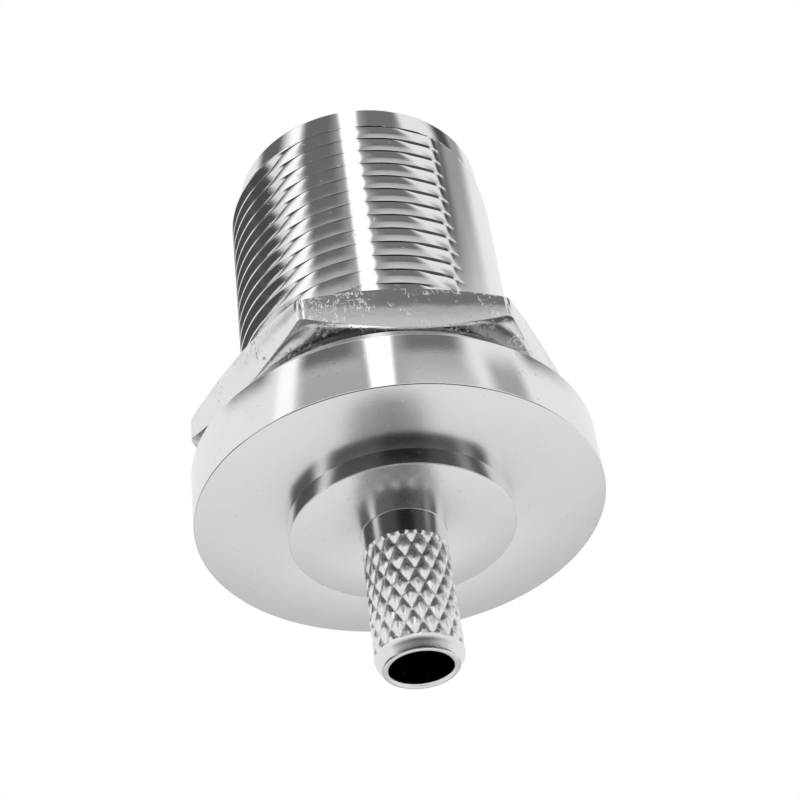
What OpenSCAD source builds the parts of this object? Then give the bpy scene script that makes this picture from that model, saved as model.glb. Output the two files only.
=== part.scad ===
// Panel-mounting coaxial jack, type N, with a crimp post for thin cable.
// Millimetres. The origin is the centre of the flange's panel-seating face, and +Z runs along the barrel.

/* [Barrel] */
// Major diameter of the outside thread
thread_d = 15.875; // [15.6:0.005:16.2]
// Pitch of that thread, 24 to the inch
thread_pitch = 1.0583; // [1:0.0001:1.1]
// Depth of the thread
thread_depth = 0.53; // [0.3:0.01:0.55]
// Width of the flat at the thread's root
thread_root_w = 0.26; // [0.05:0.01:0.3]
// Number of turns of thread along the barrel
thread_turns = 17; // [10:1:18]
// Length of the barrel above the panel-seating face
barrel_len = 21.3; // [19:0.1:26]
// Diameter of the plain nose ahead of the thread
nose_d = 14.75; // [14.2:0.05:15]
// Length of the plain nose, from the end of the thread's bevel
nose_len = 1.55; // [1:0.05:2.5]
// Distance of the flat from the axis, on the +X side
flat_offset = 7.4; // [7.4:0.05:7.7]
// Diameter of the socket that takes the plug's outer contact
socket_d = 8.1; // [8:0.05:8.3]
// Depth of the socket, from the mouth to the reference plane
socket_depth = 9.1; // [8.5:0.1:9.5]
// Bore of the outer conductor behind the reference plane
line_d = 7; // [6.8:0.05:7.2]
// Length of that bore
line_len = 2; // [1.5:0.1:3]
// Diameter of the rear bore, which holds the insulators
rear_bore_d = 9.6; // [9:0.1:10.5]

/* [Flange] */
// Diameter of the round flange
flange_d = 22; // [20.5:0.1:24]
// Thickness of the flange
flange_t = 3.3; // [2.5:0.1:4]
// Bevel on the flange's two edges
flange_bevel = 0.15; // [0.05:0.05:0.4]
// Outside diameter of the groove for the sealing ring
groove_d = 19.9; // [19.6:0.1:20.2]
// Depth of that groove
groove_depth = 1.2; // [1:0.05:1.4]

/* [Sealing ring] */
// Thickness of the ring's round section
ring_section = 1.78; // [1.7:0.01:1.8]

/* [Crimp post] */
// Diameter of the boss that seats on the back of the flange
boss_d = 12.1; // [11:0.1:14]
// Height of the boss
boss_h = 1; // [0.6:0.1:2]
// Outside diameter of the post's plain lengths
post_d = 4.58; // [4.4:0.02:4.8]
// Length of the post below the boss
post_len = 8.25; // [7:0.05:10]
// Bore for the cable's dielectric
post_bore_d = 3.25; // [3:0.05:3.4]
// Radius that rounds the end of the post
post_end_r = 0.55; // [0.3:0.05:0.55]
// Plain length between the boss and the knurl
knurl_gap = 1.35; // [1:0.05:2]
// Length of the knurl along the post
knurl_len = 6.2; // [4.7:0.05:6.2]
// Diameter over the knurl's crests
knurl_d = 4.6; // [4.5:0.02:4.7]
// Depth of the knurl's grooves
knurl_depth = 0.22; // [0.1:0.01:0.26]
// Number of grooves each way around the post
knurl_starts = 16; // [12:1:20]
// Rows of half diamonds along the knurl
knurl_rows = 8; // [4:2:12]

/* [Nut] */
// Width across the flats
nut_af = 19.05; // [18:0.05:20]
// Thickness of the nut
nut_t = 3; // [2.5:0.1:4]
// Distance from the panel-seating face to the nut's lower face
nut_z = 1.67; // [1.67:0.01:4]
// Angle of one of the nut's faces from the +X axis
nut_turn = 3.8; // [0:0.1:60]
// Diameter of the flat ring that the bevels leave on each face
nut_land_d = 18.4; // [17.5:0.1:19]
// Angle of the bevels
nut_bevel_angle = 26; // [15:1:30]
// Gap between the nut's bore and the barrel, on the radius
nut_clearance = 0.05; // [0.02:0.01:0.1]

/* [Lock washer] */
// Outside diameter
washer_d = 19.2; // [18.6:0.1:19.6]
// Thickness of the sheet
washer_t = 0.7; // [0.5:0.05:0.75]
// Width of the ring between the rim and the roots of the teeth
washer_rim = 0.75; // [0.6:0.05:0.9]
// Number of teeth on the inside
washer_teeth = 18; // [12:1:20]
// Width of one tooth
washer_tooth_w = 1.3; // [1:0.05:1.4]
// Twist of one tooth out of the sheet
washer_twist = 13; // [5:1:14]

/* [Contact] */
// Outside diameter of the socket contact
contact_d = 3.04; // [3:0.01:3.1]
// Height of the contact's tip above the reference plane
contact_reach = 5; // [4.7:0.05:5.3]
// Hole for the plug's pin
contact_hole_d = 1.66; // [1.6:0.01:1.7]
// Depth of that hole
contact_hole_depth = 4.6; // [4:0.1:5]
// Width of the slots between the contact's four fingers
contact_slot_w = 0.25; // [0.2:0.01:0.3]
// Length of the slots
contact_slot_len = 3.8; // [3:0.1:4.2]
// Diameter of the contact's shank, inside the insulators
contact_shank_d = 2.2; // [2:0.05:2.4]
// Hole for the cable's inner conductor
contact_pot_d = 1; // [0.9:0.05:1.2]

/* [Hidden] */
$fn = 96;

thread_r = thread_d / 2;
nose_r = nose_d / 2;
flange_r = flange_d / 2;
groove_r = groove_d / 2;
socket_r = socket_d / 2;
line_r = line_d / 2;
rear_bore_r = rear_bore_d / 2;
boss_r = boss_d / 2;
post_r = post_d / 2;
post_bore_r = post_bore_d / 2;
knurl_r = knurl_d / 2;
contact_r = contact_d / 2;
contact_shank_r = contact_shank_d / 2;
washer_r = washer_d / 2;

// Levels along the axis, from the crimp end to the mouth
flange_back_z = -flange_t;
boss_back_z = flange_back_z - boss_h;
post_end_z = boss_back_z - post_len;
knurl_z = boss_back_z - knurl_gap - knurl_len;
reference_z = barrel_len - socket_depth;
line_end_z = reference_z - line_len;
thread_end_z = barrel_len - nose_len;
contact_tip_z = reference_z + contact_reach;

flank_angle = 30;        // half of the thread's 60 degrees
thread_start_z = thread_end_z - (thread_r - nose_r) - thread_turns * thread_pitch;
mouth_bevel = 0.45;      // inside edge of the mouth
nose_bevel = 0.25;       // outside edge of the mouth
boss_bevel = 0.2;
shank_len = 3;           // how far the crimp post's shank is pressed into the rear bore
bore_relief = 0.3;       // countersinks of the nut and of the post's bore
insulator_joint_z = 4;   // where the two insulators meet
collar_r = contact_r;    // the collar that holds the contact between the insulators
collar_len = 0.8;
contact_back_z = 0;
contact_pot_len = 3;
inspection_hole_r = 0.25;
knurl_root_r = knurl_r - knurl_depth;
knurl_crest_r = knurl_r + 0.03;   // the sharp crests, before they are turned down to knurl_r
ring_gap = 0.01;         // the ring lies against the barrel with this much room
tooth_gap = 0.2;         // gap between the washer's teeth and the barrel
washer_gap = 0.055;      // room between the free sealing ring and the washer's teeth
washer_z = ring_section - groove_depth + washer_gap + tooth_rise() - washer_t / 2;

// How far a twisted tooth reaches above the middle of the washer
function tooth_rise() = (washer_tooth_w * sin(washer_twist) + washer_t * cos(washer_twist)) / 2;

// One groove of the thread, counted from the flange. The thread is drawn as rings at its pitch, without the helix.
function thread_groove(turn) =
    let (z = thread_start_z + (turn + 0.5) * thread_pitch)
    let (root = thread_root_w / 2, open = root + thread_depth * tan(flank_angle))
    [[thread_r, z - open], [thread_r - thread_depth, z - root],
     [thread_r - thread_depth, z + root], [thread_r, z + open]];

// Turned body: flange, threaded barrel and the stepped bore
module jack_body() {
    bevel = thread_r - nose_r;
    color([0.80, 0.79, 0.77])
    difference() {
        rotate_extrude()
        polygon([
            [rear_bore_r, flange_back_z],
            [flange_r - flange_bevel, flange_back_z],
            [flange_r, flange_back_z + flange_bevel],
            [flange_r, -flange_bevel],
            [flange_r - flange_bevel, 0],
            [groove_r, 0],
            [groove_r, -groove_depth],
            [thread_r, -groove_depth],
            for (turn = [0:thread_turns - 1]) each thread_groove(turn),
            [thread_r, thread_end_z - bevel],
            [nose_r, thread_end_z],
            [nose_r, barrel_len - nose_bevel],
            [nose_r - nose_bevel, barrel_len],
            [socket_r + mouth_bevel, barrel_len],
            [socket_r, barrel_len - mouth_bevel],
            [socket_r, reference_z],
            [line_r, reference_z],
            [line_r, line_end_z],
            [rear_bore_r, line_end_z]
        ]);
        barrel_flat();
    }
}

// The flat that keeps the jack from turning in a D-shaped panel hole
module barrel_flat() {
    translate([flat_offset, -flange_r, 0])
    cube([flange_r, flange_d, barrel_len + 1]);
}

// Lattice of the diamond knurl: two grooves cross where row + column is even, and a crest stands where it is odd
function is_crest(row, column) = (row + column) % 2 == 1;
function knurl_point(row, column) =
    let (raised = is_crest(row, column) && row > 0 && row < knurl_rows)
    let (r = raised ? knurl_crest_r : knurl_root_r)
    let (angle = column * 180 / knurl_starts)
    [r * cos(angle), r * sin(angle), knurl_z + row * knurl_len / knurl_rows];

// Both triangles of one lattice square, split along the groove that crosses it
function knurl_square(row, column, columns) =
    let (next = (column + 1) % columns)
    let (a = row * columns + column, b = row * columns + next)
    let (c = b + columns, d = a + columns)
    is_crest(row, column) ? [[a, d, b], [d, c, b]] : [[a, c, b], [a, d, c]];

module knurl() {
    columns = 2 * knurl_starts;
    points = [for (row = [0:knurl_rows], column = [0:columns - 1]) knurl_point(row, column)];
    sides = [for (row = [0:knurl_rows - 1], column = [0:columns - 1])
        each knurl_square(row, column, columns)];
    bottom = [for (column = [0:columns - 1]) column];
    top = [for (column = [columns - 1:-1:0]) knurl_rows * columns + column];
    intersection() {
        polyhedron(points, concat(sides, [bottom, top]), convexity = 4);
        translate([0, 0, knurl_z - 1]) cylinder(r = knurl_r, h = knurl_len + 2);
    }
}

// Rear piece, pressed into the body: shank, boss and the knurled post that the cable's braid goes over
module crimp_post() {
    color([0.78, 0.77, 0.74])
    difference() {
        union() {
            translate([0, 0, flange_back_z]) cylinder(r = rear_bore_r, h = shank_len);
            boss();
            translate([0, 0, boss_back_z - knurl_gap]) cylinder(r = post_r, h = knurl_gap);
            knurl();
            post_nose();
        }
        translate([0, 0, post_end_z - 1])
        cylinder(r = post_bore_r, h = flange_back_z + shank_len - post_end_z + 2);
    }
}

module boss() {
    translate([0, 0, boss_back_z])
    rotate_extrude()
    polygon([[0, 0], [boss_r - boss_bevel, 0], [boss_r, boss_bevel], [boss_r, boss_h], [0, boss_h]]);
}

// Plain end of the post, rounded so that it enters under the braid
module post_nose() {
    flat_r = post_r - post_end_r;
    rotate_extrude()
    union() {
        translate([0, post_end_z]) square([flat_r, knurl_z - post_end_z]);
        translate([0, post_end_z + post_end_r])
        square([post_r, knurl_z - post_end_z - post_end_r]);
        intersection() {
            translate([flat_r, post_end_z + post_end_r]) circle(r = post_end_r);
            translate([0, post_end_z]) square([post_r, post_end_r]);
        }
    }
}

// Rubber ring in the flange's groove, standing proud so that the panel squeezes it
module sealing_ring() {
    section_r = ring_section / 2;
    color([0.05, 0.05, 0.05])
    translate([0, 0, section_r - groove_depth])
    rotate_extrude()
    translate([thread_r + ring_gap + section_r, 0])
    circle(r = section_r);
}

module front_insulator() {
    color([0.93, 0.93, 0.91])
    difference() {
        translate([0, 0, insulator_joint_z])
        cylinder(r = rear_bore_r, h = line_end_z - insulator_joint_z);
        translate([0, 0, insulator_joint_z - 1]) cylinder(r = contact_shank_r, h = line_end_z);
        translate([0, 0, insulator_joint_z - 1]) cylinder(r = collar_r, h = collar_len + 1);
    }
}

module rear_insulator() {
    bottom_z = flange_back_z + shank_len;
    color([0.93, 0.93, 0.91])
    difference() {
        translate([0, 0, bottom_z]) cylinder(r = rear_bore_r, h = insulator_joint_z - bottom_z);
        translate([0, 0, bottom_z - 1]) cylinder(r = contact_shank_r, h = insulator_joint_z + 2);
    }
}

// Socket contact: four sprung fingers for the plug's pin in front, and a pot for the cable behind
module center_contact() {
    bevel = 0.2;
    color([0.85, 0.68, 0.32])
    difference() {
        rotate_extrude()
        polygon([
            [0, contact_back_z],
            [contact_shank_r, contact_back_z],
            [contact_shank_r, insulator_joint_z],
            [collar_r, insulator_joint_z],
            [collar_r, insulator_joint_z + collar_len],
            [contact_shank_r, insulator_joint_z + collar_len],
            [contact_shank_r, line_end_z],
            [contact_r, line_end_z],
            [contact_r, contact_tip_z - bevel],
            [contact_r - bevel, contact_tip_z],
            [0, contact_tip_z]
        ]);
        translate([0, 0, contact_tip_z - contact_hole_depth])
        cylinder(r = contact_hole_d / 2, h = contact_hole_depth + 1);
        translate([0, 0, contact_back_z - 1]) cylinder(r = contact_pot_d / 2, h = contact_pot_len + 1);
        translate([0, 0, contact_back_z + contact_pot_len / 2])
        rotate([90, 0, 0])
        cylinder(r = inspection_hole_r, h = contact_d);
        for (angle = [0, 90])
            rotate(angle)
            translate([-contact_d, -contact_slot_w / 2, contact_tip_z - contact_slot_len])
            cube([2 * contact_d, contact_slot_w, contact_slot_len + 1]);
    }
}

// Sheet ring with teeth on the inside, each twisted out of the sheet
module lock_washer() {
    rim_r = washer_r - washer_rim;
    tooth_in_r = thread_r + tooth_gap;
    overlap = 0.2;
    color([0.62, 0.62, 0.60])
    translate([0, 0, washer_z])
    union() {
        difference() {
            cylinder(r = washer_r, h = washer_t);
            translate([0, 0, -1]) cylinder(r = rim_r, h = washer_t + 2);
        }
        for (i = [0:washer_teeth - 1])
            rotate(i * 360 / washer_teeth)
            translate([(tooth_in_r + rim_r + overlap) / 2, 0, washer_t / 2])
            rotate([washer_twist, 0, 0])
            cube([rim_r + overlap - tooth_in_r, washer_tooth_w, washer_t], center = true);
    }
}

// Hexagon nut, bevelled on both faces. Its thread is drawn as a plain bore that clears the barrel's crests.
module hex_nut() {
    corner_r = nut_af / 2 / cos(30);
    land_r = nut_land_d / 2;
    outer_r = corner_r + 0.5;
    drop = (outer_r - land_r) * tan(nut_bevel_angle);
    bore_r = thread_r + nut_clearance;
    color([0.79, 0.78, 0.75])
    translate([0, 0, nut_z])
    difference() {
        intersection() {
            rotate(nut_turn + 30) cylinder(r = corner_r, h = nut_t, $fn = 6);
            rotate_extrude()
            polygon([[0, 0], [land_r, 0], [outer_r, drop], [outer_r, nut_t - drop], [land_r, nut_t],
                     [0, nut_t]]);
        }
        rotate_extrude()
        polygon([[0, -1], [bore_r + 1 + bore_relief, -1], [bore_r, bore_relief],
                 [bore_r, nut_t - bore_relief], [bore_r + 1 + bore_relief, nut_t + 1], [0, nut_t + 1]]);
    }
}

jack_body();
crimp_post();
sealing_ring();
front_insulator();
rear_insulator();
center_contact();
lock_washer();
hex_nut();
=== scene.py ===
"""Panel-mounting type N jack: visible pieces, materials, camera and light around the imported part.

Sizes are millimetres in the part's frame, with +Z along the barrel. Meshes are made in metres.
"""
import math

import bmesh
import bpy
import numpy as np
from mathutils import Matrix, Vector


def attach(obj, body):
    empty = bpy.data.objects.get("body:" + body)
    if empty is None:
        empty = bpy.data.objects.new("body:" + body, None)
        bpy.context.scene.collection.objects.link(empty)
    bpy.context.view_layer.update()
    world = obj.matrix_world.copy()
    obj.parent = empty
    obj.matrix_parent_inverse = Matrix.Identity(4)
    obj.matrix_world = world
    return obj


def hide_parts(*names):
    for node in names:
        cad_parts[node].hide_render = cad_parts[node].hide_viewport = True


MM = 0.001
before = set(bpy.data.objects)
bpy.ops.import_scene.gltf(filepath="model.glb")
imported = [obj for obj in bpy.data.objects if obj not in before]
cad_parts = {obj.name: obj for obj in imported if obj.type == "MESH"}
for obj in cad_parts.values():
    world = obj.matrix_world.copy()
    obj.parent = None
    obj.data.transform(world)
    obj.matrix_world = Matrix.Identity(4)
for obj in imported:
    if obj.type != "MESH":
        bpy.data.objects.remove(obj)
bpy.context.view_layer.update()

# Upright plane through the axis that faces the camera, in degrees from +X
CAMERA_AZIMUTH = -66.0

# ---------------------------------------------------------------- sizes, as in the part's source
PITCH = 25.4 / 24
THREAD_R = 7.9375
THREAD_END = 19.75
BARREL_TOP = 21.3
NOSE_R = 7.375
FLANGE_R = 11.0
FLANGE_T = 3.3
GROOVE_R = 9.95
GROOVE_DEPTH = 1.2
SOCKET_R = 4.05
MOUTH_BEVEL = 0.45
REFERENCE_Z = 12.2
LINE_R = 3.5
LINE_END = 10.2
REAR_BORE_R = 4.8
BOSS_R = 6.05
BOSS_H = 1.0
BOSS_BACK = -FLANGE_T - BOSS_H
SHANK_LEN = 3.0
POST_R = 2.29
POST_LEN = 8.25
POST_BORE_R = 1.625
POST_END = BOSS_BACK - POST_LEN
KNURL_TOP = -5.65
KNURL_LEN = 6.2
KNURL_LOW = KNURL_TOP - KNURL_LEN
KNURL_R = 2.3
KNURL_STARTS = 16
KNURL_ROWS = 8
NUT_AF = 19.05
NUT_T = 3.0
NUT_Z = 1.67
NUT_TURN = 3.8
NUT_LAND_R = 9.2
NUT_BEVEL = 26
NUT_BORE_R = THREAD_R + 0.05
BORE_RELIEF = 0.3

# ---------------------------------------------------------------- sizes of the visible detail
NOSE_BEVEL = 0.06
FLANGE_BEVEL = 0.05
BOSS_BEVEL = 0.03
AROUND = 192                # faces around the body

# The flat along the barrel, slightly crowned
FLAT_CENTRE = 67.0 + CAMERA_AZIMUTH
FLAT_HALF = 30.5            # degrees each side, where the thread is gone
FLAT_BLEND = 3.5            # degrees over which thread and flat run into each other
FLAT_R = 7.42               # least distance from the axis
FLAT_CROWN = 13.5           # radius of curvature

# The thread: a crest's lower corner stands at CREST_Z at CREST_AZIMUTH from the camera plane
CREST_Z = 6.530
CREST_AZIMUTH = 12.9
THREAD_BOTTOM = 0.9
THREAD_RUN_IN = 0.8         # length over which it reaches its full depth
THREAD_DEPTH = 0.60

# Its form by azimuth from the camera plane: whole behind, with wide crests in front.
# Width of the groove in pitches, slope of its flanks, and how far the crests are rounded in millimetres.
GROOVE_WIDTHS = [(-180, 0.86), (-38, 0.86), (-32, 0.30), (-27, 0.14), (-22, 0.04), (-14, 0.03), (-8, 0.08),
                 (-4, 0.02), (3, 0.02), (6, 0.10), (20, 0.12), (25, 0.24), (34, 0.22), (96, 0.24),
                 (110, 0.86), (180, 0.86)]
FLANK_SLOPES = [(-180, 1.72), (-36, 1.72), (-24, 1.1), (-4, 1.0), (24, 1.0), (34, 1.2), (96, 1.2),
                (110, 1.72), (180, 1.72)]
CREST_SAGS = [(-180, 0.0), (-38, 0.0), (-28, 0.03), (-20, 0.004), (-12, 0.008), (-3, 0.004), (3, 0.004),
              (7, 0.034), (26, 0.034), (36, 0.02), (110, 0.0), (180, 0.0)]

# Rows of one turn, as shares of the groove's width and then of the crest's
GROOVE_STEPS = (0, 0.04, 0.12, 0.25, 0.38, 0.46, 0.5, 0.54, 0.62, 0.75, 0.9, 0.97)
CREST_STEPS = (0, 0.03, 0.12, 0.3, 0.5, 0.7, 0.88, 0.97)
PER_PITCH = len(GROOVE_STEPS) + len(CREST_STEPS)

# The post: its lip as (outward from the bore, up) and its taper as (inward from the outside, up)
POST_LIP = [(0, 0.12), (0.05, 0.03), (0.12, 0)]
POST_TAPER = [(0.40, 0), (0.33, 0.03), (0.28, 0.10), (0.20, 0.26), (0.10, 0.42), (0.03, 0.54)]
POST_END_LEN = 0.7
BORE_ROWS = (-4.0, -8.0, POST_END + 0.3)
KNURL_DEPTH = 0.13
KNURL_LAYERS = 97
FACES_PER_START = 12
KNURL_GAP = 0.08            # from the knurl to the plain post, at either end
KNURL_RUN_OUT = 0.12
CREST_GAIN = 1.25           # flattens the diamonds' points
CREST_POWER = 0.7           # makes the gaps between them narrow
UNEVEN = 0.10               # share of the depth by which diamonds differ

# The nut's edges
NUT_CORNER_R = NUT_AF / 2 / math.cos(math.pi / 6)
CORNER_WEAR = 0.0875        # how far the six corners are worn back
CORNER_BLEND = 0.03
NUT_EDGE = 0.06
NUT_EDGE_IN = 0.012
NUT_EDGE_UP = 0.005
NUT_LAND_EDGE = (-0.03, 0.05)


# ---------------------------------------------------------------- mesh helpers
def shade(mesh, sharp):
    """Smooth shading, apart from edges that turn by more than sharp degrees."""
    for polygon in mesh.polygons:
        polygon.use_smooth = True
    mesh.set_sharp_from_angle(angle=math.radians(sharp))


def new_piece(name, points, faces, sharp=32):
    mesh = bpy.data.meshes.new(name)
    mesh.from_pydata([tuple(p) for p in np.asarray(points, float) * MM], [], [tuple(f) for f in faces])
    mesh.validate()
    mesh.update()
    shade(mesh, sharp)
    piece = bpy.data.objects.new(name, mesh)
    bpy.context.scene.collection.objects.link(piece)
    return piece


def merge_doubles(piece, distance=1e-7, sharp=32):
    work = bmesh.new()
    work.from_mesh(piece.data)
    bmesh.ops.remove_doubles(work, verts=work.verts, dist=distance)
    bmesh.ops.dissolve_degenerate(work, edges=work.edges, dist=distance)
    work.to_mesh(piece.data)
    work.free()
    shade(piece.data, sharp)


def even_angles(count):
    return np.arange(count) * 2 * math.pi / count


def ring(radius, z, angles):
    radius = np.broadcast_to(radius, angles.shape)
    z = np.broadcast_to(z, angles.shape)
    return np.stack([radius * np.cos(angles), radius * np.sin(angles), z], -1)


def lathe(rings, closed=True):
    """Joins each ring of points to the next, and the last to the first if closed."""
    columns = len(rings[0])
    count = len(rings)
    faces = []
    for i in range(count if closed else count - 1):
        a = i * columns
        b = ((i + 1) % count) * columns
        for j in range(columns):
            k = (j + 1) % columns
            faces.append((a + j, a + k, b + k, b + j))
    return np.concatenate(rings), faces


def rounded(profile, radii, steps=3):
    """Rounds the corners of an (r, z) profile, with one radius for each corner."""
    out = []
    for i, (corner, radius) in enumerate(zip(profile, radii)):
        p = np.array(corner, float)
        before = np.array(profile[i - 1], float) - p
        after = np.array(profile[(i + 1) % len(profile)], float) - p
        before_len = np.linalg.norm(before)
        after_len = np.linalg.norm(after)
        cut = min(radius, before_len * 0.45, after_len * 0.45)
        if cut <= 0:
            out.append(tuple(p))
            continue
        start = p + before / before_len * cut
        end = p + after / after_len * cut
        for t in np.linspace(0, 1, steps + 1):
            out.append(tuple((1 - t) ** 2 * start + 2 * t * (1 - t) * p + t * t * end))
    return out


def smoothstep(low, high, x):
    t = np.clip((x - low) / (high - low), 0, 1)
    return t * t * (3 - 2 * t)


# ---------------------------------------------------------------- threaded body
def crowned_flat(delta):
    """Distance of the flat from the axis, by angle from the flat's middle."""
    offset = FLAT_CROWN - FLAT_R
    return -offset * np.cos(delta) + np.sqrt(FLAT_CROWN ** 2 - (offset * np.sin(delta)) ** 2)


def soft_table(table, azimuth):
    """Reads a table of (azimuth, value) with its corners softened."""
    marks = np.array(table, float)
    shifts = (-2, -1, 0, 1, 2)
    return np.mean([np.interp(azimuth + shift, marks[:, 0], marks[:, 1]) for shift in shifts], axis=0)


def thread_row(step, width, slope, sag):
    """Phase below a crest's lower corner, in pitches, and depth in millimetres, for one row of a turn."""
    if step < len(GROOVE_STEPS):
        share = GROOVE_STEPS[step]
        flank = slope * PITCH * width * min(share, 1 - share)
        return width * share, np.minimum(flank, THREAD_DEPTH) + sag
    share = CREST_STEPS[step - len(GROOVE_STEPS)]
    return width + (1 - width) * share, sag * (2 * share - 1) ** 2


def thread_points(angles):
    """Rows of points that climb with the helix, cut off level at the thread's two ends."""
    azimuth = (np.degrees(angles) - CAMERA_AZIMUTH + 180) % 360 - 180
    width = soft_table(GROOVE_WIDTHS, azimuth)
    slope = soft_table(FLANK_SLOPES, azimuth)
    sag = soft_table(CREST_SAGS, azimuth)
    delta = (angles - math.radians(FLAT_CENTRE) + math.pi) % (2 * math.pi) - math.pi
    blend = math.radians(FLAT_BLEND)
    half = math.radians(FLAT_HALF)
    on_flat = 1 - smoothstep(half - blend, half + blend, np.abs(delta))
    flat = np.minimum(crowned_flat(delta), THREAD_R)
    climb = (angles - math.radians(CAMERA_AZIMUTH + CREST_AZIMUTH)) / (2 * math.pi)
    start = THREAD_BOTTOM + (CREST_Z - THREAD_BOTTOM) % PITCH - 3 * PITCH
    turns = int((THREAD_END - THREAD_BOTTOM) / PITCH) + 5
    rows = []
    for turn in range(turns):
        for step in reversed(range(PER_PITCH)):
            phase, depth = thread_row(step, width, slope, sag)
            z = np.clip(start + PITCH * (turn + 1 - phase + climb), THREAD_BOTTOM, THREAD_END)
            radius = THREAD_R - depth * smoothstep(THREAD_BOTTOM, THREAD_BOTTOM + THREAD_RUN_IN, z)
            radius = radius * (1 - on_flat) + flat * on_flat
            radius = np.minimum(radius, NOSE_R + THREAD_END - z)
            rows.append(ring(radius, z, angles))
    return np.concatenate(rows)


def thread_faces(rows, columns):
    """Faces of the helical grid. Its last column meets the first one a turn higher."""
    faces = []
    for i in range(rows - 1):
        for j in range(columns - 1):
            a = i * columns + j
            faces.append((a, a + 1, a + columns + 1, a + columns))
        if i + PER_PITCH + 1 < rows:
            low = i * columns + columns - 1
            next_turn = (i + PER_PITCH) * columns
            faces.append((low, next_turn, next_turn + columns, low + columns))
    return faces


def body_outline():
    """Outline of the body from the thread's end over the nose, through the bore and back over the flange."""
    corners = [
        (NOSE_R, THREAD_END, 0),
        (NOSE_R, THREAD_END + 0.05, 0),
        (NOSE_R, BARREL_TOP - NOSE_BEVEL, 0.04),
        (NOSE_R - NOSE_BEVEL, BARREL_TOP, 0.04),
        (SOCKET_R + MOUTH_BEVEL, BARREL_TOP, 0.05),
        (SOCKET_R, BARREL_TOP - MOUTH_BEVEL, 0.05),
        (SOCKET_R, REFERENCE_Z, 0.03),
        (LINE_R, REFERENCE_Z, 0.05),
        (LINE_R, LINE_END, 0.03),
        (REAR_BORE_R, LINE_END, 0.03),
        (REAR_BORE_R, -FLANGE_T, 0.03),
        (FLANGE_R - FLANGE_BEVEL, -FLANGE_T, 0.05),
        (FLANGE_R, -FLANGE_T + FLANGE_BEVEL, 0.05),
        (FLANGE_R, -FLANGE_BEVEL, 0.05),
        (FLANGE_R - FLANGE_BEVEL, 0, 0.05),
        (GROOVE_R, 0, 0.04),
        (GROOVE_R, -GROOVE_DEPTH, 0.06),
        (THREAD_R, -GROOVE_DEPTH, 0.06),
        (THREAD_R, THREAD_BOTTOM, 0),
    ]
    return rounded([(r, z) for r, z, _ in corners], [radius for _, _, radius in corners])


def threaded_body():
    angles = even_angles(AROUND)
    thread = thread_points(angles)
    faces = thread_faces(len(thread) // AROUND, AROUND)
    turned, turned_faces = lathe([ring(r, z, angles) for r, z in body_outline()], closed=False)
    faces += [tuple(k + len(thread) for k in face) for face in turned_faces]
    piece = new_piece("threaded_body", np.concatenate([thread, turned]), faces)
    merge_doubles(piece, 2e-6)
    return piece


# ---------------------------------------------------------------- knurled post
def knurl_rings(angles):
    """The knurl: two crossed sets of grooves, slightly uneven, that run out at both ends."""
    around = angles * KNURL_STARTS / (2 * math.pi)
    rings = []
    for z in np.linspace(KNURL_LOW, KNURL_TOP, KNURL_LAYERS):
        along = (z - KNURL_LOW) * KNURL_ROWS / (2 * KNURL_LEN)
        height = np.abs(np.sin(math.pi * (around + along)) * np.sin(math.pi * (around - along)))
        height = np.minimum(height * CREST_GAIN, 1) ** CREST_POWER
        height += UNEVEN * np.sin(7 * angles + 5.1 * z) * np.sin(19 * angles - 2.3 * z)
        height = np.minimum(height, 1)
        fade = min(1, (z - KNURL_LOW) / KNURL_RUN_OUT, (KNURL_TOP - z) / KNURL_RUN_OUT)
        rings.append(ring(KNURL_R - KNURL_DEPTH * (1 - height) * fade, z, angles))
    return rings


def knurled_post():
    angles = even_angles(KNURL_STARTS * FACES_PER_START)
    shank_top = SHANK_LEN - FLANGE_T
    bore = [(POST_BORE_R, z) for z in (shank_top, *BORE_ROWS)]
    lip = [(POST_BORE_R + out, POST_END + up) for out, up in POST_LIP]
    taper = [(POST_R - inward, POST_END + up) for inward, up in POST_TAPER]
    plain = [(POST_R, KNURL_TOP + KNURL_GAP), (POST_R, BOSS_BACK)]
    boss = rounded([(POST_R, BOSS_BACK), (BOSS_R - BOSS_BEVEL, BOSS_BACK), (BOSS_R, BOSS_BACK + BOSS_BEVEL),
                    (BOSS_R, -FLANGE_T), (REAR_BORE_R, -FLANGE_T), (REAR_BORE_R, shank_top),
                    (POST_BORE_R, shank_top)], [0.05, 0.05, 0.05, 0, 0, 0, 0])[1:-1]
    below = bore + lip + taper + [(POST_R, KNURL_LOW - KNURL_GAP)]
    rings = [ring(r, z, angles) for r, z in below]
    rings += knurl_rings(angles)
    rings += [ring(r, z, angles) for r, z in plain + boss]
    piece = new_piece("knurled_post", *lathe(rings), 40)
    merge_doubles(piece)
    return piece


# ---------------------------------------------------------------- nut
def nut_angles():
    """Angles around the nut, close together at its corners."""
    near = np.linspace(28.2, 30, 8)
    side = np.concatenate([-near[::-1], np.linspace(-26.5, 26.5, 19), near])[:-1]
    return np.concatenate([np.radians(NUT_TURN + 60 * k) + np.radians(side) for k in range(6)])


def worn_hexagon(angles):
    """Distance of the nut's outline from the axis, with its corners worn round."""
    local = (angles - math.radians(NUT_TURN) + math.pi / 6) % (math.pi / 3) - math.pi / 6
    beyond = NUT_AF / 2 / np.cos(local) - NUT_CORNER_R
    worn = np.log(np.exp(-beyond / CORNER_BLEND) + math.exp(CORNER_WEAR / CORNER_BLEND))
    return NUT_CORNER_R - CORNER_BLEND * worn


def nut_bevel(radius):
    return np.maximum(radius - NUT_LAND_R, 0) * math.tan(math.radians(NUT_BEVEL))


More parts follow.
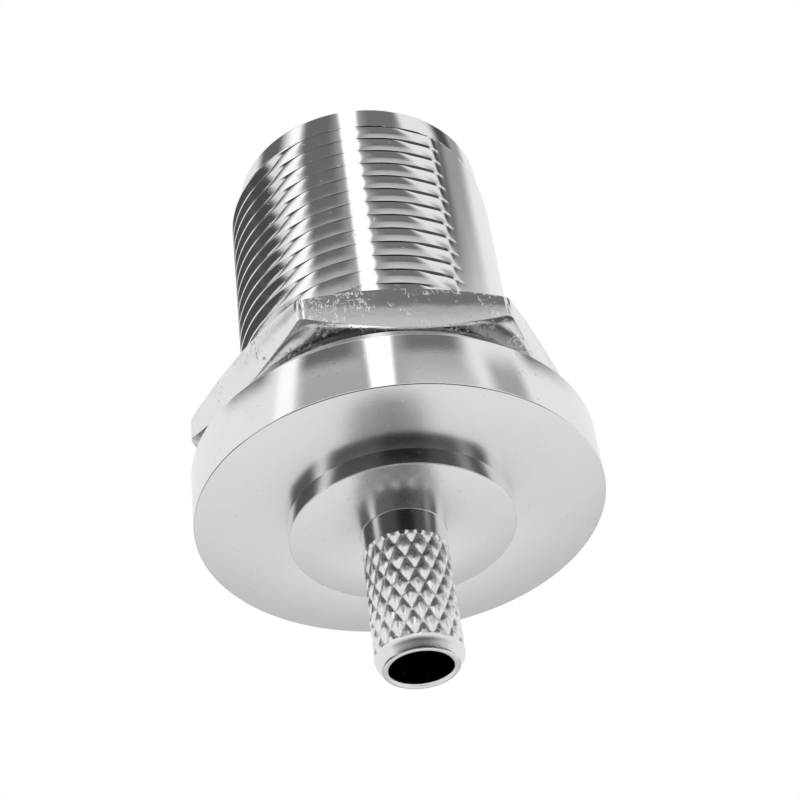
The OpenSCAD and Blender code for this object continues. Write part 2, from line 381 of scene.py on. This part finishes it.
def hexagon_nut():
    angles = nut_angles()
    outer = worn_hexagon(angles)
    land_in, land_out = (NUT_LAND_R + edge for edge in NUT_LAND_EDGE)
    half = [(NUT_BORE_R, BORE_RELIEF), (NUT_BORE_R + BORE_RELIEF, 0), (land_in, 0),
            (land_out, nut_bevel(land_out))]
    for share in (0.25, 0.5, 0.75):
        radius = land_out + (outer - NUT_EDGE - land_out) * share
        half.append((radius, nut_bevel(radius)))
    half.append((outer - NUT_EDGE, nut_bevel(outer - NUT_EDGE)))
    half.append((outer - NUT_EDGE_IN, nut_bevel(outer) + NUT_EDGE_UP))
    half.append((outer, nut_bevel(outer) + NUT_EDGE))
    profile = half + [(radius, NUT_T - z) for radius, z in reversed(half)]
    profile += [(NUT_BORE_R, z) for z in np.linspace(NUT_T - BORE_RELIEF, BORE_RELIEF, 8)[1:-1]]
    return new_piece("hexagon_nut", *lathe([ring(r, z + NUT_Z, angles) for r, z in profile]), 30)


# ---------------------------------------------------------------- materials
class Nodes:
    """Short calls for building a node tree."""

    def __init__(self, tree):
        self.tree = tree
        tree.nodes.clear()

    def node(self, kind, **settings):
        made = self.tree.nodes.new(kind)
        for key, value in settings.items():
            setattr(made, key, value)
        return made

    def put(self, socket, value):
        """Links an output socket to this one, or sets this one's value."""
        if isinstance(value, bpy.types.NodeSocket):
            self.tree.links.new(value, socket)
        else:
            socket.default_value = value

    def math(self, operation, *values, clamp=False):
        made = self.node("ShaderNodeMath", operation=operation, use_clamp=clamp)
        for socket, value in zip(made.inputs, values):
            self.put(socket, value)
        return made.outputs[0]

    def step(self, value, low, high):
        """Rises softly from 0 at low to 1 at high, or falls where low is above high."""
        made = self.node("ShaderNodeMapRange", interpolation_type="SMOOTHSTEP", clamp=True)
        for socket, setting in zip(made.inputs, (value, low, high, 0.0, 1.0)):
            self.put(socket, setting)
        return made.outputs[0]

    def weigh(self, a, weight_a, b, weight_b):
        return self.math("ADD", self.math("MULTIPLY", a, weight_a), self.math("MULTIPLY", b, weight_b))

    def mix(self, factor, a, b):
        return self.weigh(a, self.math("SUBTRACT", 1.0, factor), b, factor)

    def two_tone(self, factor, first, second):
        """Mixes two colours, each a tuple or a socket."""
        made = self.node("ShaderNodeMix", data_type="RGBA")
        for name, value in (("Factor", factor), ("A", first), ("B", second)):
            self.put(made.inputs[name], value)
        return made.outputs["Result"]

    def noise(self, vector, scale, detail, rough, distort=0.0):
        made = self.node("ShaderNodeTexNoise")
        for name, value in (("Vector", vector), ("Scale", scale), ("Detail", detail), ("Roughness", rough),
                            ("Distortion", distort)):
            self.put(made.inputs[name], value)
        return made.outputs["Fac"]

    def mapping(self, vector, scale, rotation=(0, 0, 0)):
        made = self.node("ShaderNodeMapping")
        for name, value in (("Vector", vector), ("Scale", scale), ("Rotation", rotation)):
            self.put(made.inputs[name], value)
        return made.outputs[0]

    def split(self, vector):
        made = self.node("ShaderNodeSeparateXYZ")
        self.put(made.inputs[0], vector)
        return made.outputs

    def bump(self, height, strength, distance):
        made = self.node("ShaderNodeBump")
        for name, value in (("Height", height), ("Strength", strength), ("Distance", distance)):
            self.put(made.inputs[name], value)
        return made.outputs[0]


def tint(colour, share):
    return (*[channel * share for channel in colour], 1)


def new_material(name, metallic):
    material = bpy.data.materials.new(name)
    material.use_nodes = True
    nodes = Nodes(material.node_tree)
    shader = nodes.node("ShaderNodeBsdfPrincipled")
    shader.inputs["Metallic"].default_value = metallic
    nodes.put(nodes.node("ShaderNodeOutputMaterial").inputs[0], shader.outputs[0])
    return material, nodes, shader


def turning_lines(nodes, place):
    """Fine lines around the axis, as a turning tool leaves them."""
    x, y, z = nodes.split(place)
    radius = nodes.math("SQRT", nodes.math("ADD", nodes.math("MULTIPLY", x, x), nodes.math("MULTIPLY", y, y)))
    joined = nodes.node("ShaderNodeCombineXYZ")
    nodes.put(joined.inputs[0], radius)
    nodes.put(joined.inputs[1], z)
    nodes.put(joined.inputs[2], nodes.math("MULTIPLY", nodes.math("ARCTAN2", y, x), 0.0006))
    return nodes.noise(joined.outputs[0], 26000, 2, 0.6)


def spanner_marks(nodes, place, height):
    """Adds patches of small dents and scratches, and a slight unevenness, to a height."""
    patches = nodes.step(nodes.noise(place, 520, 2, 0.5), 0.44, 0.60)
    dents = nodes.noise(nodes.mapping(place, (1, 1, 0.55)), 3600, 4, 0.7, 0.6)
    scratches = nodes.noise(nodes.mapping(place, (1, 1, 6.0), (0.3, 0.5, 0.2)), 1500, 3, 0.6)
    marks = nodes.weigh(nodes.step(dents, 0.53, 0.68), 1.0, nodes.step(scratches, 0.60, 0.70), 0.4)
    height = nodes.weigh(height, 1.0, nodes.math("MULTIPLY", patches, marks), -2.6)
    return nodes.weigh(height, 1.0, nodes.noise(place, 650, 2, 0.5, 0.4), 5.0)


def plated(name, colour, rough=0.07, rough_range=0.05, lines=0.25, pits=0.3, worn=False):
    """Turned and plated metal: fine turning lines, soft clouding and small dull pits."""
    material, nodes, shader = new_material(name, 1.0)
    place = nodes.node("ShaderNodeTexCoord").outputs["Object"]
    turning = turning_lines(nodes, place)
    cloud = nodes.noise(place, 420, 4, 0.55)
    fine = nodes.noise(place, 5200, 3, 0.6)
    pit = nodes.step(nodes.noise(place, 3000, 2, 0.4), 0.69, 0.75)

    uneven = nodes.math("MULTIPLY", nodes.weigh(cloud, 0.7, turning, 0.3), rough_range)
    roughness = nodes.math("ADD", rough - rough_range * 0.5, uneven)
    roughness = nodes.math("ADD", roughness, nodes.math("MULTIPLY", pit, pits * 0.6), clamp=True)
    nodes.put(shader.inputs["Roughness"], roughness)

    clouded = nodes.step(nodes.weigh(cloud, 0.6, fine, 0.4), 0.35, 0.65)
    clean = nodes.two_tone(clouded, tint(colour, 0.965), tint(colour, 1))
    pitted = nodes.two_tone(nodes.math("MULTIPLY", pit, pits), clean, tint(colour, 0.6))
    nodes.put(shader.inputs["Base Color"], pitted)

    height = nodes.weigh(turning, lines, pit, -pits)
    if worn:
        height = spanner_marks(nodes, place, height)
    nodes.put(shader.inputs["Normal"], nodes.bump(height, 0.35, 0.00001))
    return material


def dull(name, colour, rough, coarse, spread=0.12):
    """Rubber or plastic: clouded colour and a fine grain."""
    material, nodes, shader = new_material(name, 0.0)
    place = nodes.node("ShaderNodeTexCoord").outputs["Object"]
    grain = nodes.noise(place, coarse * 14, 3, 0.6)
    blend = nodes.weigh(nodes.noise(place, coarse, 5, 0.6), 0.5, grain, 0.5)
    clouded = nodes.two_tone(nodes.step(blend, 0.35, 0.65), tint(colour, 1 - spread), tint(colour, 1))
    nodes.put(shader.inputs["Base Color"], clouded)
    roughness = nodes.math("ADD", rough - 0.06, nodes.math("MULTIPLY", blend, 0.14))
    nodes.put(shader.inputs["Roughness"], roughness)
    nodes.put(shader.inputs["Normal"], nodes.bump(grain, 0.5, 0.00002))
    return material


def dress(piece, material):
    piece.data.materials.clear()
    piece.data.materials.append(material)


def dress_faces(piece, material, test):
    """Gives a second material to the faces that test(centre, normal) picks."""
    piece.data.materials.append(material)
    index = len(piece.data.materials) - 1
    for polygon in piece.data.polygons:
        if test(polygon.center / MM, polygon.normal):
            polygon.material_index = index


def dress_node(name, material):
    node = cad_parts[name]
    if node.material_slots:
        for slot in node.material_slots:
            slot.material = material
    else:
        node.data.materials.append(material)


# ---------------------------------------------------------------- camera
def add_camera():
    data = bpy.data.cameras.new("camera")
    data.sensor_width = 36
    data.lens = 76.654
    data.clip_start = 0.001
    camera = bpy.data.objects.new("camera", data)
    bpy.context.scene.collection.objects.link(camera)
    bpy.context.scene.camera = camera
    camera.location = Vector((29.967, -67.306, -56.305)) * MM
    aim = Vector((0.747, 0.323, 4.865)) * MM - camera.location
    roll = Matrix.Rotation(math.radians(-8.09), 3, "Z")
    camera.rotation_euler = (aim.to_track_quat("-Z", "Y").to_matrix() @ roll).to_euler()


# ---------------------------------------------------------------- light
# Soft-edged zones of the studio that the metal reflects. Levels are as seen on the plating, 0 to 255.
# Azimuth from the camera plane, half width, softness; lowest and highest elevation, softness; level.
ZONES = [
    (0, 48, 6, 18, 43, 3, 165),
    (0, 48, 6, 43, 68, 2, 104),
    (28, 24, 5, 16, 37, 7, 195),
    (28, 24, 5, 47, 70, 9, 112),
    (0, 13, 8, 14, 70, 8, 165),
    (-56, 6, 3, 10, 72, 6, 252),
    (-88, 18, 8, 44, 72, 3, 96),
    (104, 13, 7, 43, 72, 3, 72),
    (122, 10, 7, 43, 72, 4, 150),
    (72, 11, 5, 14, 42, 4, 162),
    (0, 106, 5, -64, -22, 5, 72),
    (0, 106, 5, -95, -64, 5, 105),
    (-119, 17, 4, -64, -22, 6, 74),
    (12, 24, 8, -58, -26, 6, 16),
    (-77, 8, 4, -58, -18, 5, 235),
    (76, 7, 4, -58, -18, 5, 150),
]
BASE_LEVEL = 226
BACK_LEVEL = 184            # low behind the object
STRIP_LEVEL = 290           # the long light over the camera plane
STRIP_HALF = 0.088
STRIP_SOFT = 0.03
STRIP_LOW = 8
REFLECTANCE = 0.86
DIFFUSE_LIGHT = 0.9


def linear(level):
    """Light that shows at this level on the plating."""
    share = level / 255
    if share > 1:
        return share ** 2.4 / REFLECTANCE
    return ((share + 0.055) / 1.055) ** 2.4 / REFLECTANCE


def add_studio():
    world = bpy.data.worlds.new("studio")
    bpy.context.scene.world = world
    world.use_nodes = True
    nodes = Nodes(world.node_tree)
    math_node = nodes.math
    x, y, z = nodes.split(nodes.node("ShaderNodeTexCoord").outputs["Generated"])
    azimuth = math_node("MULTIPLY", math_node("ARCTAN2", y, x), 180 / math.pi)
    azimuth = math_node("WRAP", math_node("SUBTRACT", azimuth, CAMERA_AZIMUTH), 180.0, -180.0)
    turned = math_node("ABSOLUTE", azimuth)
    elevation = math_node("MULTIPLY", math_node("ARCSINE", z), 180 / math.pi)

    low_band = math_node("MULTIPLY", nodes.step(elevation, -35.5, -31.5), nodes.step(elevation, 8, 0))
    behind = math_node("MULTIPLY", nodes.step(turned, 125, 150), low_band)
    light = nodes.mix(behind, linear(BASE_LEVEL), linear(BACK_LEVEL))

    for centre, half, soft, low, high, edge, level in ZONES:
        off = math_node("ABSOLUTE", math_node("SUBTRACT", azimuth, float(centre)))
        mask = nodes.step(off, half + soft, half - soft)
        mask = math_node("MULTIPLY", mask, nodes.step(elevation, low - edge, low + edge))
        mask = math_node("MULTIPLY", mask, nodes.step(elevation, high + edge, high - edge))
        light = nodes.mix(mask, light, linear(level))

    plane = math.radians(CAMERA_AZIMUTH)
    aside = math_node("ABSOLUTE", nodes.weigh(x, -math.sin(plane), y, math.cos(plane)))
    strip = nodes.step(aside, STRIP_HALF + STRIP_SOFT, STRIP_HALF - STRIP_SOFT)
    strip = math_node("MULTIPLY", strip, nodes.step(elevation, STRIP_LOW - 4, STRIP_LOW + 4))
    strip = math_node("MULTIPLY", strip, nodes.step(turned, 90, 80))
    light = nodes.mix(strip, light, linear(STRIP_LEVEL))

    path = nodes.node("ShaderNodeLightPath")
    light = nodes.mix(path.outputs["Is Diffuse Ray"], light, DIFFUSE_LIGHT)
    light = nodes.mix(path.outputs["Is Camera Ray"], light, 1.0)
    background = nodes.node("ShaderNodeBackground")
    background.inputs["Color"].default_value = (1, 1, 1, 1)
    nodes.put(background.inputs["Strength"], light)
    nodes.put(nodes.node("ShaderNodeOutputWorld").inputs[0], background.outputs[0])


# ---------------------------------------------------------------- floor
FLOOR_HALF = 0.8            # metres
FLOOR_Z = -0.12             # metres
FLOOR_GLOW = 0.16


def add_floor():
    corners = [(-FLOOR_HALF, -FLOOR_HALF), (FLOOR_HALF, -FLOOR_HALF), (FLOOR_HALF, FLOOR_HALF),
               (-FLOOR_HALF, FLOOR_HALF)]
    mesh = bpy.data.meshes.new("floor")
    mesh.from_pydata([(x, y, FLOOR_Z) for x, y in corners], [], [(0, 1, 2, 3)])
    made = bpy.data.objects.new("floor", mesh)
    bpy.context.scene.collection.objects.link(made)
    made.visible_glossy = False
    material = bpy.data.materials.new("floor")
    material.use_nodes = True
    nodes = Nodes(material.node_tree)
    diffuse = nodes.node("ShaderNodeBsdfDiffuse")
    diffuse.inputs["Color"].default_value = (0.93, 0.93, 0.93, 1)
    glow = nodes.node("ShaderNodeEmission")
    glow.inputs["Strength"].default_value = FLOOR_GLOW
    added = nodes.node("ShaderNodeAddShader")
    nodes.put(added.inputs[0], diffuse.outputs[0])
    nodes.put(added.inputs[1], glow.outputs[0])
    nodes.put(nodes.node("ShaderNodeOutputMaterial").inputs[0], added.outputs[0])
    mesh.materials.append(material)
    return made


add_camera()
add_studio()
floor = add_floor()
bpy.context.scene.view_settings.view_transform = "Standard"

# ---------------------------------------------------------------- the pieces
NICKEL = (0.86, 0.86, 0.855)
WAXY_WHITE = (0.9, 0.9, 0.88)

satin = plated("plated_faces", NICKEL, rough=0.25, lines=0.4, pits=0.1)
# The knurl's plating is painted a little lighter than the rest of the nickel: a painted highlight that makes
# the knurl look brighter.
knurled = plated("plated_knurl_painted_lighter", (0.88, 0.88, 0.875), rough=0.26, rough_range=0.08, lines=0.2, pits=0.6)

body = threaded_body()
dress(body, plated("plated_body", NICKEL))
dress_faces(body, satin, lambda centre, normal: normal.z < -0.9 and centre.z < -FLANGE_T + 0.1)
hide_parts("jack_body")
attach(body, "shell")

post = knurled_post()
dress(post, plated("plated_post", NICKEL, rough=0.08))
dress_faces(post, satin, lambda centre, normal: normal.z < -0.9 and centre.z > BOSS_BACK - 0.1)
dress_faces(post, knurled, lambda centre, normal: KNURL_LOW - POST_END_LEN < centre.z < KNURL_TOP
            and centre.xy.length > POST_BORE_R + 0.075)
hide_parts("crimp_post")
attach(post, "shell")

nut = hexagon_nut()
dress(nut, plated("plated_nut", (0.85, 0.85, 0.845), rough=0.12, rough_range=0.12, lines=0.0, pits=0.8,
                  worn=True))
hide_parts("hex_nut")
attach(nut, "nut")

dress_node("sealing_ring", dull("ring_rubber", (0.02, 0.02, 0.02), 0.55, 900))
dress_node("front_insulator", dull("insulator_front", WAXY_WHITE, 0.4, 500, spread=0.05))
dress_node("rear_insulator", dull("insulator_rear", WAXY_WHITE, 0.4, 500, spread=0.05))
dress_node("center_contact", plated("contact_plating", (0.85, 0.66, 0.30), rough=0.16, pits=0.1))
dress_node("lock_washer", plated("washer_plating", (0.62, 0.61, 0.59), rough=0.2, lines=0.0, pits=0.4))
